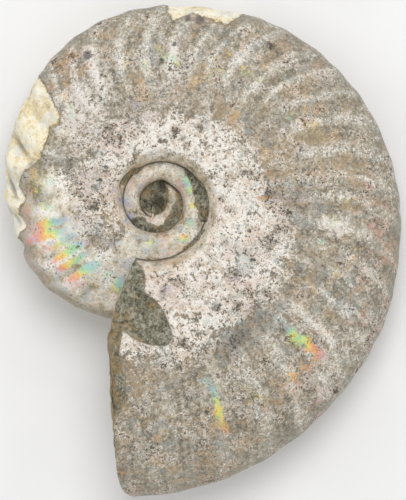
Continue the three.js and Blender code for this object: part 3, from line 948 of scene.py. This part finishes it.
    def relief(self, skin: Skin, marks: dict[Mark, Array]) -> Array:
        """How far each place moves out: worn lumps all over, steps at missing shell, rough rock.

        Args:
            skin: The places.
            marks: What lies there.

        Returns:
            One distance for each place, in millimetres.
        """
        rock = smooth(marks[Mark.ROCK], -0.1, 0.25)
        bare = smooth(marks[Mark.BARE], -0.15, 0.25)
        worn, rough = (
            sum(height * lumps(skin.at, size, seed) for seed, (height, size) in enumerate(sizes, first))
            for first, sizes in ((1, self.worn_lumps), (3, self.rough_lumps))
        )
        ribs = self.fold_ribs * (0.5 - skin.wave) * (skin.side > 0)
        folds = bare * (self.fold_depth * marks[Mark.DARK] + ribs)
        last = (skin.kind == Kind.FLANK.value) & (skin.turn < 1)
        step = np.where(last, self.rock_step, 0.0)
        pits = np.where(last, 0.0, marks[Mark.DARK])
        return worn - step * rock + rough * rock - self.bare_step * bare - folds - self.pit_depth * pits

    def build(self) -> bpy.types.Object:
        """The finished piece: sculpted, laid down, with its marks, its grain and its map."""
        skin, faces = self.closed()
        marks = self.markings.read(skin, self.mouth)
        at = skin.at + self.normals(skin.at, faces) * self.relief(skin, marks)[:, None]
        mesh = bpy.data.meshes.new(self.name)
        mesh.vertices.add(len(at))
        mesh.vertices.foreach_set("co", (self.lie.place(at) * MM).astype(np.float32).ravel())
        mesh.loops.add(faces.size)
        mesh.loops.foreach_set("vertex_index", faces.astype(np.int32).ravel())
        mesh.polygons.add(len(faces))
        mesh.polygons.foreach_set("loop_start", np.arange(0, faces.size, 3, dtype=np.int32))
        mesh.update(calc_edges=True)
        mesh.validate()
        mesh.shade_smooth()
        mesh.set_sharp_from_angle(angle=np.radians(self.sharp_angle))
        for mark, values in marks.items():
            layer = mesh.attributes.new(mark.value, "FLOAT", "POINT")
            layer.data.foreach_set("value", values.astype(np.float32))
        row, part, across, side = self.grain_steps
        grain = np.stack(
            [skin.start * row + skin.kind * part, skin.reach * across, skin.side * side], -1
        )
        layer = mesh.attributes.new(Mark.GRAIN.value, "FLOAT_VECTOR", "POINT")
        layer.data.foreach_set("vector", grain.astype(np.float32).ravel())
        self.unfold(mesh, skin, faces)
        piece = bpy.data.objects.new(self.name, mesh)
        bpy.context.scene.collection.objects.link(piece)
        return piece

    def unfold(self, mesh: bpy.types.Mesh, skin: Skin, faces: Array) -> None:
        """Lays the skin out flat: each flank as seen from its own side, the mouth as faced."""
        mouth = (skin.kind[faces].max(axis=1) == Kind.MOUTH.value)[:, None]
        side = skin.side[faces].sum(axis=1)[:, None]
        x, y, z = (skin.at[faces][..., k] for k in range(3))
        left, low = self.map_margin
        start, below = self.map_mouth
        width = self.map_width
        v = (y + low) / width
        u = np.where(side > 0, (x + left) / width, 0.5 + (self.map_lower_margin - x) / width)
        u = np.where(mouth, v, u)
        v = np.where(mouth, start + (z + below) / width, v)
        layer = mesh.uv_layers.new(name="OFBake")
        layer.uv.foreach_set("vector", np.stack([u, v], -1).astype(np.float32).ravel())


def srgb(red: float, green: float, blue: float) -> Colour:
    """A colour given by its usual 0 to 255 numbers, as light: the standard curve undone."""
    parts = (value / 255 for value in (red, green, blue))
    return tuple(v / 12.92 if v <= 0.04045 else ((v + 0.055) / 1.055) ** 2.4 for v in parts)


Number = Union["Field", float]
Hue = Union[bpy.types.NodeSocket, Colour]


class Field:
    """A number that changes over the surface; its operators add Math nodes."""

    def __init__(self, tree: "Tree", socket: bpy.types.NodeSocket) -> None:
        """Wraps a socket of the tree."""
        self.tree = tree
        self.socket = socket

    def __add__(self, other: Number) -> "Field":
        """self + other."""
        return self.tree.math("ADD", self, other)

    def __sub__(self, other: Number) -> "Field":
        """self - other."""
        return self.tree.math("SUBTRACT", self, other)

    def __rsub__(self, other: Number) -> "Field":
        """other - self."""
        return self.tree.math("SUBTRACT", other, self)

    def __mul__(self, other: Number) -> "Field":
        """self * other."""
        return self.tree.math("MULTIPLY", self, other)

    def __truediv__(self, other: Number) -> "Field":
        """self / other."""
        return self.tree.math("DIVIDE", self, other)

    __radd__ = __add__
    __rmul__ = __mul__

    def larger(self, other: Number) -> "Field":
        """The larger of the two."""
        return self.tree.math("MAXIMUM", self, other)

    def step(self, low: float, high: float) -> "Field":
        """0 below low and 1 above high, with a smooth rise between."""
        node = self.tree.node(
            "ShaderNodeMapRange",
            {"interpolation_type": "SMOOTHSTEP"},
            {"Value": self, "From Min": low, "From Max": high},
        )
        return Field(self.tree, node.outputs["Result"])


class Tree:
    """A material's nodes, added by type, with their settings and the values of their sockets."""

    def __init__(self, material: bpy.types.Material) -> None:
        """Empties the material's node tree and takes it over."""
        material.use_nodes = True
        self.nodes = material.node_tree.nodes
        self.links = material.node_tree.links
        self.nodes.clear()
        self.place = self.node("ShaderNodeTexCoord").outputs["Object"]
        self.seeds = 0

    def node(
        self,
        kind: str,
        settings: dict[str, object] | None = None,
        inputs: dict[Union[int, str], object] | None = None,
    ) -> bpy.types.Node:
        """Adds a node.

        Args:
            kind: The node's type.
            settings: Its properties, which are set first; "stops" fills a colour ramp.
            inputs: Values or links for its sockets, by name or number.

        Returns:
            The node.
        """
        node = self.nodes.new(kind)
        for name, value in (settings or {}).items():
            if name == "stops":
                self.fill(node.color_ramp, value)
            else:
                setattr(node, name, value)
        for name, value in (inputs or {}).items():
            socket = node.inputs[name]
            value = value.socket if isinstance(value, Field) else value
            if isinstance(value, bpy.types.NodeSocket):
                self.links.new(value, socket)
            elif isinstance(value, tuple) and socket.type == "RGBA":
                socket.default_value = (*value, 1.0)
            else:
                socket.default_value = value
        return node

    @staticmethod
    def fill(ramp: bpy.types.ColorRamp, stops: Sequence[tuple[float, Colour]]) -> None:
        """Gives a colour ramp its stops, in rising order."""
        while len(ramp.elements) < len(stops):
            ramp.elements.new(1.0)
        for element, (place, colour) in zip(ramp.elements, stops):
            element.position = place
            element.color = (*colour, 1.0)

    def math(self, operation: str, first: Number, second: Number) -> Field:
        """A Math node on two numbers."""
        node = self.node("ShaderNodeMath", {"operation": operation}, {0: first, 1: second})
        return Field(self, node.outputs[0])

    def mark(self, mark: Mark) -> Field:
        """One of the attributes of the skin."""
        node = self.node("ShaderNodeAttribute", {"attribute_name": mark.value})
        return Field(self, node.outputs["Fac"])

    def cloudy(self, vector: bpy.types.NodeSocket, scale: float, detail: int, rough: float) -> Field:
        """Layered noise, 0 on average and 1 for its usual swing.

        Each layer is half the size of the last and rough times as strong, and the swing is that
        of one layer times the root of the layers' squares over their sum.

        Args:
            vector: What it is laid out on.
            scale: How many of the largest lumps fit in one unit of the vector.
            detail: How many smaller layers it has.
            rough: The strength of each layer over that of the one before.

        Returns:
            The noise.
        """
        self.seeds += 1
        node = self.node(
            "ShaderNodeTexNoise",
            {"noise_dimensions": "4D"},
            {
                "Vector": vector, "W": 7.3 * self.seeds, "Scale": scale, "Detail": float(detail),
                "Roughness": rough,
            },
        )
        layers = rough ** np.arange(detail + 1)
        swing = NOISE_SWING * np.sqrt((layers ** 2).sum()) / layers.sum()
        return (Field(self, node.outputs["Fac"]) - 0.5) / float(swing)

    def noise(self, size: float, detail: int, rough: float) -> Field:
        """Noise through the solid, whose largest lumps are about size millimetres."""
        return self.cloudy(self.place, 1 / (size * MM), detail, rough)

    def streaks(self, across: float, along: float, detail: int, rough: float) -> Field:
        """Noise drawn out along the growth lines, with its sizes in millimetres."""
        grain = self.node("ShaderNodeAttribute", {"attribute_name": Mark.GRAIN.value})
        scaled = self.node(
            "ShaderNodeVectorMath",
            {"operation": "MULTIPLY"},
            {0: grain.outputs["Vector"], 1: (1 / across, 1 / along, 1.0)},
        )
        return self.cloudy(scaled.outputs[0], 1.0, detail, rough)

    def mix(self, factor: Number, first: Hue, second: Hue) -> bpy.types.NodeSocket:
        """The first colour, turning into the second as the factor goes from 0 to 1."""
        node = self.node("ShaderNodeMix", {"data_type": "RGBA"})
        for number, value in ((0, factor), (6, first), (7, second)):
            value = value.socket if isinstance(value, Field) else value
            if isinstance(value, bpy.types.NodeSocket):
                self.links.new(value, node.inputs[number])
            else:
                node.inputs[number].default_value = (*value, 1.0) if number else value
        return node.outputs[2]

    def layered(self, base: Hue, *layers: tuple[Number, Hue]) -> Hue:
        """A colour with others laid over it in order, each by its own share."""
        for share, colour in layers:
            base = self.mix(share, base, colour)
        return base

    def ramp(self, factor: Field, *stops: tuple[float, Colour]) -> bpy.types.NodeSocket:
        """A colour for each value of the factor."""
        return self.node("ShaderNodeValToRGB", {"stops": stops}, {"Fac": factor}).outputs["Color"]


class ShellTree(Tree):
    """A tree with the patterns that the finishes share."""

    def __init__(self, material: bpy.types.Material) -> None:
        """Adds the pattern nodes: clouds, tints, grit of all sizes, flecks and growth lines."""
        super().__init__(material)
        self.broad = self.noise(8.0, 2, 0.5)
        self.cloud = self.noise(3.0, 4, 0.7)
        self.tint = self.noise(2.6, 3, 0.8)
        self.patch = self.noise(1.6, 3, 0.8)
        self.grit = self.noise(0.7, 3, 1.0)
        self.salt = self.noise(0.45, 2, 1.0)
        self.pepper = self.noise(0.42, 1, 1.0)
        self.growth = self.streaks(0.8, 4.0, 2, 0.6)

    def ragged(self, mark: Field) -> Field:
        """A mark from 0 to 1 made a patch whose border is broken by clouds and grit."""
        return (mark * 3 - 1.5 + self.cloud * 0.5 + self.grit * 0.7).step(-0.4, 0.6)

    def warmed(self, mark: Field) -> Field:
        """The share of a warm tint, full where the mark is 1 and in clouds where it is 0."""
        return (mark * 2 - 1.2 + self.tint + self.grit * 0.3).step(-1.0, 1.4)

    def cooled(self, mark: Field) -> Field:
        """The share of a cool tint, full where the mark is 1, in the gaps between warm clouds."""
        return (mark * 2 - 1.2 - self.tint + self.grit * 0.3).step(-1.0, 1.4)


@dataclass(frozen=True)
class Nacre:
    """Worn outer shell: brownish grey grit, pale flecks on the ribs, partly painted glints, and ochre
    between.
    """

    dark: Colour = srgb(112, 104, 88)
    middle: Colour = srgb(178, 167, 148)
    light: Colour = srgb(236, 228, 213)
    fleck_and_glint: Colour = srgb(250, 248, 240)
    warm: Colour = srgb(178, 152, 112)
    cool: Colour = srgb(146, 153, 150)
    # Greenish grey painted shade towards the outer edge.
    edge: Colour = srgb(144, 142, 124)
    stain: Colour = srgb(208, 164, 98)
    pale: Colour = srgb(246, 236, 228)
    spot: Colour = srgb(64, 66, 62)

    def colour(self, tree: ShellTree) -> bpy.types.NodeSocket:
        """The shell's colour, ribs, tints, stains, pale and dark marks, painted shade and glints.

        Args:
            tree: The material's nodes and patterns.

        Returns:
            A colour socket.
        """
        rib = tree.mark(Mark.RIB) - 0.35
        pale, dark = tree.mark(Mark.PALE), tree.mark(Mark.DARK)
        tone = tree.grit * 0.12 + tree.cloud * 0.045 + tree.patch * 0.04
        tone = tone + tree.growth * 0.05 + rib * 0.18 + pale * 0.18 + 0.49
        salt = tree.salt + rib * 1.5 + pale + tree.cloud * 0.4 - dark
        return tree.layered(
            tree.ramp(tone, (0.2, self.dark), (0.5, self.middle), (0.8, self.light)),
            (tree.cooled(tree.mark(Mark.COOL) + rib * 0.4) * 0.55, self.cool),
            (tree.warmed(tree.mark(Mark.WARM) - rib * 0.5) * 0.55, self.warm),
            # Painted shade, darker towards the outer edge.
            (tree.mark(Mark.EDGE) * 0.45, self.edge),
            (tree.ragged(tree.mark(Mark.STAIN)) * 0.62, self.stain),
            (tree.ragged(pale) * 0.65, self.pale),
            # White flecks, partly painted glints.
            (salt.step(1.1, 2.0) * 0.75, self.fleck_and_glint),
            # Dark spots, and painted shade where the dark marks lie in folds and between ribs.
            (tree.ragged(dark) * 0.8, self.spot),
        )


@dataclass(frozen=True)
class Rainbow:
    """The nacre's play of colour, a painted iridescent sheen, from blue near the middle to pink at the
    edge.
    """

    strength: float = 0.85
    hues: tuple[Colour, ...] = (
        srgb(186, 182, 208), srgb(174, 198, 218), srgb(160, 216, 204), srgb(178, 228, 158),
        srgb(246, 232, 112), srgb(252, 184, 92), srgb(242, 156, 134), srgb(224, 176, 186),
    )

    def over(self, tree: ShellTree, base: Hue) -> Hue:
        """Lays the rainbow over a colour, in blotches broken by grit.

        Args:
            tree: The material's nodes and patterns.
            base: The colour underneath.

        Returns:
            A colour socket.
        """
        hue = tree.mark(Mark.HUE) + tree.cloud * 0.08 + tree.grit * 0.03
        stops = [(i / (len(self.hues) - 1), colour) for i, colour in enumerate(self.hues)]
        colours = tree.ramp(hue, *stops)
        gleam = tree.mark(Mark.GLEAM) * 2 - 0.8 + tree.broad * 0.2
        gleam = gleam + tree.tint * 0.3 + tree.grit * 0.18
        # Painted iridescent sheen.
        return tree.mix(gleam.step(-0.5, 0.9) * self.strength, base, colours)


@dataclass(frozen=True)
class Specks:
    """Fine dark specks, crowded on the chalk and few and brown on the smooth shell."""

    dark: Colour = srgb(66, 68, 66)
    brown: Colour = srgb(122, 96, 66)

    def over(self, tree: ShellTree, base: Hue, chalk: Field, sleek: Field) -> Hue:
        """Strews the specks over a colour.

        Args:
            tree: The material's nodes and patterns.
            base: The colour underneath.
            chalk: 1 on the chalk.
            sleek: 1 on the smooth shell.

        Returns:
            A colour socket.
        """
        crowd = tree.pepper + tree.cloud * 0.6 + tree.broad * 0.2 + tree.mark(Mark.DARK)
        crowd = crowd + tree.mark(Mark.COOL) * 0.4 + chalk * 0.54 - sleek * 0.9
        brown = tree.cloud * 0.5 - tree.salt + chalk * 0.4 + sleek * 0.25
        return tree.layered(
            base,
            (crowd.step(2.02, 2.55) * 0.88, self.dark),
            (brown.step(1.9, 2.6) * 0.6, self.brown),
        )


@dataclass(frozen=True)
class Chalk:
    """The whitened band round the open centre, cream and pink, with greyer clouds."""

    white: Colour = srgb(255, 250, 242)
    cream: Colour = srgb(232, 219, 202)
    grey: Colour = srgb(128, 120, 106)
    pink: Colour = srgb(240, 212, 198)
    peach: Colour = srgb(232, 204, 172)
    teal: Colour = srgb(182, 190, 184)
    stain: Colour = srgb(188, 142, 84)
    spot: Colour = srgb(82, 80, 76)

    def colour(self, tree: ShellTree) -> bpy.types.NodeSocket:
        """White grit with tinted clouds.

        Args:
            tree: The material's nodes and patterns.

        Returns:
            A colour socket.
        """
        tone = tree.grit * 0.12 - tree.cloud * 0.1 + tree.patch * 0.08 - tree.broad * 0.04
        return tree.layered(
            tree.ramp(tone + 0.5, (0.08, self.grey), (0.42, self.cream), (0.6, self.white)),
            ((tree.broad + tree.grit * 0.3).step(0.2, 1.4) * 0.35, self.pink),
            (tree.warmed(tree.mark(Mark.WARM)) * 0.5, self.peach),
            (tree.cooled(tree.mark(Mark.COOL)) * 0.5, self.teal),
            (tree.ragged(tree.mark(Mark.STAIN)) * 0.6, self.stain),
            (tree.ragged(tree.mark(Mark.DARK)) * 0.7, self.spot),
        )


@dataclass(frozen=True)
class InnerShell:
    """Bare inner shell, cream, with yellowish clouds, grey-white places and painted brown shade in folds.
    """

    cream: Colour = srgb(255, 250, 232)
    yellow: Colour = srgb(246, 230, 186)
    brown: Colour = srgb(218, 200, 162)
    grey: Colour = srgb(224, 224, 216)
    # Brown line inside the border, partly painted shade under the outer shell's step.
    border: Colour = srgb(158, 132, 80)
    fold_shade_and_speck: Colour = srgb(122, 106, 80)

    def colour(self, tree: ShellTree, inside: Field) -> bpy.types.NodeSocket:
        """Cream, with a brown line inside the border, partly painted shade, and painted shade in the folds.

        Args:
            tree: The material's nodes and patterns.
            inside: The distance inside the border.

        Returns:
            A colour socket.
        """
        tone = tree.cloud * 0.12 + tree.grit * 0.09 + 0.5
        return tree.layered(
            tree.ramp(tone, (0.2, self.brown), (0.42, self.yellow), (0.56, self.cream)),
            (tree.warmed(tree.mark(Mark.WARM)) * 0.5, self.yellow),
            (tree.cooled(tree.mark(Mark.COOL)) * 0.85, self.grey),
            # Brown line inside the border, partly painted shade under the outer shell's step.
            ((1 - inside.step(0.05, 0.4)) * 0.85, self.border),
            # Painted shade in the folds; the same colour makes the fine specks below.
            ((tree.mark(Mark.DARK) + tree.patch * 0.08).step(0.1, 0.9) * 0.7, self.fold_shade_and_speck),
            (tree.pepper.step(2.4, 2.9) * 0.6, self.fold_shade_and_speck),
        )


@dataclass(frozen=True)
class Sleek:
    """Smooth nacre: the open centre's wall, the inner turns and the flank before the mouth."""

    olive: Colour = srgb(146, 132, 100)
    beige: Colour = srgb(220, 208, 184)
    light: Colour = srgb(255, 250, 240)
    rose: Colour = srgb(230, 192, 164)
    cool: Colour = srgb(180, 186, 190)
    # Olive-brown painted shade towards the outer edge.
    edge: Colour = srgb(140, 130, 106)
    crumb: Colour = srgb(232, 202, 182)

    def colour(self, tree: ShellTree) -> bpy.types.NodeSocket:
        """Beige clouds, rosy or blue-grey in places, with painted olive shade in hollows and browner
        painted shade at the edge.

        Args:
            tree: The material's nodes and patterns.

        Returns:
            A colour socket.
        """
        pale, dark = tree.mark(Mark.PALE), tree.mark(Mark.DARK)
        tone = tree.cloud * 0.1 + tree.patch * 0.06 + tree.grit * 0.065
        # The dark marks paint olive shade between the ribs and in hollows.
        tone = tone + (tree.mark(Mark.RIB) - 0.35) * 0.12 + pale * 0.15 - dark * 0.3 + 0.53
        return tree.layered(
            tree.ramp(tone, (0.22, self.olive), (0.48, self.beige), (0.74, self.light)),
            (tree.warmed(tree.mark(Mark.WARM) - 0.1) * 0.6, self.rose),
            (tree.cooled(tree.mark(Mark.COOL)) * 0.75, self.cool),
            # Painted shade towards the outer edge.
            ((tree.mark(Mark.EDGE) + tree.tint * 0.1).step(0.1, 0.9) * 0.7, self.edge),
            ((pale + tree.grit * 0.08).step(0.84, 0.97) * 0.85, self.crumb),
        )


@dataclass(frozen=True)
class Rock:
    """The olive rock inside: dark grains, pale sparkling grains, a brown rim and painted shade in its pits.
    """

    dark: Colour = srgb(64, 62, 48)
    olive: Colour = srgb(130, 127, 106)
    pale: Colour = srgb(186, 184, 168)
    brown: Colour = srgb(172, 142, 94)
    # Partly the rim's own colour and partly a painted highlight along it.
    tan: Colour = srgb(196, 170, 126)
    # Painted shade in pits and hollows.
    hollow_shade: Colour = srgb(58, 52, 30)
    sparkle: Colour = srgb(220, 222, 212)

    def colour(self, tree: ShellTree, inside: Field) -> bpy.types.NodeSocket:
        """Grainy olive, browner where the mark is warm, with a tan line at the shell's edge, partly a
        painted highlight.

        Args:
            tree: The material's nodes and patterns.
            inside: The distance past the shell's edge.

        Returns:
            A colour socket.
        """
        tone = tree.grit * 0.13 + tree.patch * 0.07 + tree.cloud * 0.05 + 0.5
        warm = tree.mark(Mark.WARM)
        rim = 1 - inside.step(0.0, 0.45)
        return tree.layered(
            tree.ramp(tone, (0.2, self.dark), (0.5, self.olive), (0.8, self.pale)),
            (tree.warmed(warm * 0.9 + rim * 0.4) * 0.6, self.brown),
            # A tan line along the rim, partly the edge's colour and partly a painted highlight.
            (rim * warm.step(0.1, 0.6) * 0.7, self.tan),
            # Painted shade in the pits and hollows of the rock.
            (tree.mark(Mark.DARK).step(0.0, 1.0) * 0.8, self.hollow_shade),
            (tree.salt.step(2.0, 2.6) * 0.5, self.sparkle),
        )


@dataclass(frozen=True)
class FossilFinish:
    """The whole fossil's material: the finishes laid over each other by the skin's marks."""

    nacre: Nacre = Nacre()
    rainbow: Rainbow = Rainbow()
    specks: Specks = Specks()
    chalk: Chalk = Chalk()
    inner: InnerShell = InnerShell()
    sleek: Sleek = Sleek()
    rock: Rock = Rock()
    name: str = "fossil_shell_and_rock"

    def make(self) -> bpy.types.Material:
        """The material, with its colour, gloss and fine relief.

        Returns:
            A new material.
        """
        material = bpy.data.materials.new(self.name)
        tree = ShellTree(material)
        fray = tree.patch * 0.12 + tree.grit * 0.1
        rock_in = tree.mark(Mark.ROCK) + fray * 0.8
        bare_in = tree.mark(Mark.BARE) + fray
        rock = rock_in.step(-0.05, 0.05)
        bare = bare_in.step(-0.06, 0.06)
        chalk = tree.mark(Mark.CHALK) * 3 - 1.3 + tree.cloud * 0.9 + tree.grit * 0.7
        chalk = chalk.step(-0.6, 0.6)
        sleek = (tree.mark(Mark.SLEEK) * 3 - 1.5 + tree.cloud * 0.3 + tree.grit * 0.5).step(-0.6, 0.6)
        seam = (tree.mark(Mark.SEAM) + tree.patch * 0.15).step(0.2, 0.8)
        colour = self.nacre.colour(tree)
        colour = tree.mix(chalk, colour, self.chalk.colour(tree))
        colour = tree.mix(sleek, colour, self.sleek.colour(tree))
        # Painted iridescent sheen.
        colour = self.rainbow.over(tree, colour)
        colour = self.specks.over(tree, colour, chalk, sleek)
        colour = tree.mix(bare, colour, self.inner.colour(tree, bare_in))
        # The seam's groove painted dark: rock in it and painted shade.
        colour = tree.mix(seam * 0.85, colour, self.rock.dark)
        colour = tree.mix(rock, colour, self.rock.colour(tree, rock_in))
        dull = (chalk - sleek).larger(bare).larger(rock)
        roughness = 0.45 + dull * 0.35 + tree.grit * 0.04
        height = tree.grit * 0.022 + tree.growth * 0.006 + rock * (tree.patch * 0.06 - 0.25)
        height = height - bare * 0.2 - sleek * tree.grit * 0.012
        bump = tree.node("ShaderNodeBump", {}, {"Strength": 1.0, "Distance": MM, "Height": height})
        shader = tree.node(
            "ShaderNodeBsdfPrincipled",
            {},
            {
                "Base Color": colour, "Roughness": roughness, "Normal": bump.outputs[0],
                "Coat Weight": (1 - dull) * 0.15, "Coat Roughness": 0.25,
            },
        )
        tree.node("ShaderNodeOutputMaterial", {}, {"Surface": shader.outputs[0]})
        return material


@dataclass
class Studio:
    """A pale floor, soft light from above and a long lens looking along the coil's axis."""

    floor_size: float = 1.6
    floor_gap: float = 0.1
    view_centre: tuple[float, float, float] = (7.65, -7.99, 0.0)
    view_height: float = 85.0
    distance: float = 1.0
    sensor: float = 36.0
    clip: tuple[float, float] = (0.01, 10.0)
    greys: tuple[float, float] = (0.93, 0.95)
    world_light: float = 0.66
    key_power: float = 3.0
    key_size: float = 0.5
    key_place: tuple[float, float, float] = (0.1, 0.35, 0.8)

    def floor(self) -> bpy.types.Object:
        """A square of pale matt floor, softly mottled, just under the shell."""
        half, low = self.floor_size / 2, -self.floor_gap * MM
        mesh = bpy.data.meshes.new("floor")
        corners = [(-half, -half, low), (half, -half, low), (half, half, low), (-half, half, low)]
        mesh.from_pydata(corners, [], [(0, 1, 2, 3)])
        floor = bpy.data.objects.new("floor", mesh)
        bpy.context.scene.collection.objects.link(floor)
        material = bpy.data.materials.new("pale_floor")
        tree = Tree(material)
        stops = [(place, (grey, grey, grey)) for place, grey in enumerate(self.greys)]
        colour = tree.ramp(tree.noise(30.0, 2, 0.5), *stops)
        shader = tree.node("ShaderNodeBsdfPrincipled", {}, {"Base Color": colour, "Roughness": 0.9})
        tree.node("ShaderNodeOutputMaterial", {}, {"Surface": shader.outputs[0]})
        mesh.materials.append(material)
        return floor

    def camera(self, lie: Lie) -> bpy.types.Object:
        """The camera, looking straight at the coil's middle plane from above.

        Args:
            lie: How the shell lies.

        Returns:
            The camera.
        """
        data = bpy.data.cameras.new("camera")
        data.sensor_width = self.sensor
        data.lens = self.distance * self.sensor / (self.view_height * MM)
        data.clip_start, data.clip_end = self.clip
        camera = bpy.data.objects.new("camera", data)
        bpy.context.scene.collection.objects.link(camera)
        pose = lie.matrix()
        centre = pose @ Vector(self.view_centre)
        away = pose.to_3x3() @ Vector((0, 0, self.distance))
        camera.matrix_world = Matrix.Translation(centre * MM + away) @ pose.to_3x3().to_4x4()
        bpy.context.scene.camera = camera
        return camera

    def lights(self) -> None:
        """Even light from all round and a broad soft lamp above and behind."""
        world = bpy.data.worlds.new("studio")
        world.use_nodes = True
        world.node_tree.nodes["Background"].inputs["Color"].default_value = (1, 1, 1, 1)
        world.node_tree.nodes["Background"].inputs["Strength"].default_value = self.world_light
        bpy.context.scene.world = world
        data = bpy.data.lights.new("key", "AREA")
        data.shape, data.size, data.energy = "DISK", self.key_size, self.key_power
        lamp = bpy.data.objects.new("key", data)
        place = Vector(self.key_place)
        lamp.location = place
        lamp.rotation_euler = place.to_track_quat("Z", "Y").to_euler()
        bpy.context.scene.collection.objects.link(lamp)


def main() -> None:
    """Loads the solid, builds the shell over it and lights it."""
    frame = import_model()
    LOG.info("loaded %s", ", ".join(frame["nodes"]))
    shell = Ammonite()
    piece = shell.build()
    piece.data.materials.append(FossilFinish().make())
    LOG.info("%s: %d triangles", piece.name, len(piece.data.polygons))
    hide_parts("ammonite_fossil")
    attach(piece, "root")
    studio = Studio()
    studio.camera(shell.lie)
    studio.lights()
    studio.floor()
    bpy.context.scene.view_settings.view_transform = "Standard"


if __name__ == "__main__":
    logging.basicConfig(level=logging.INFO, format="%(name)s: %(message)s")
    main()
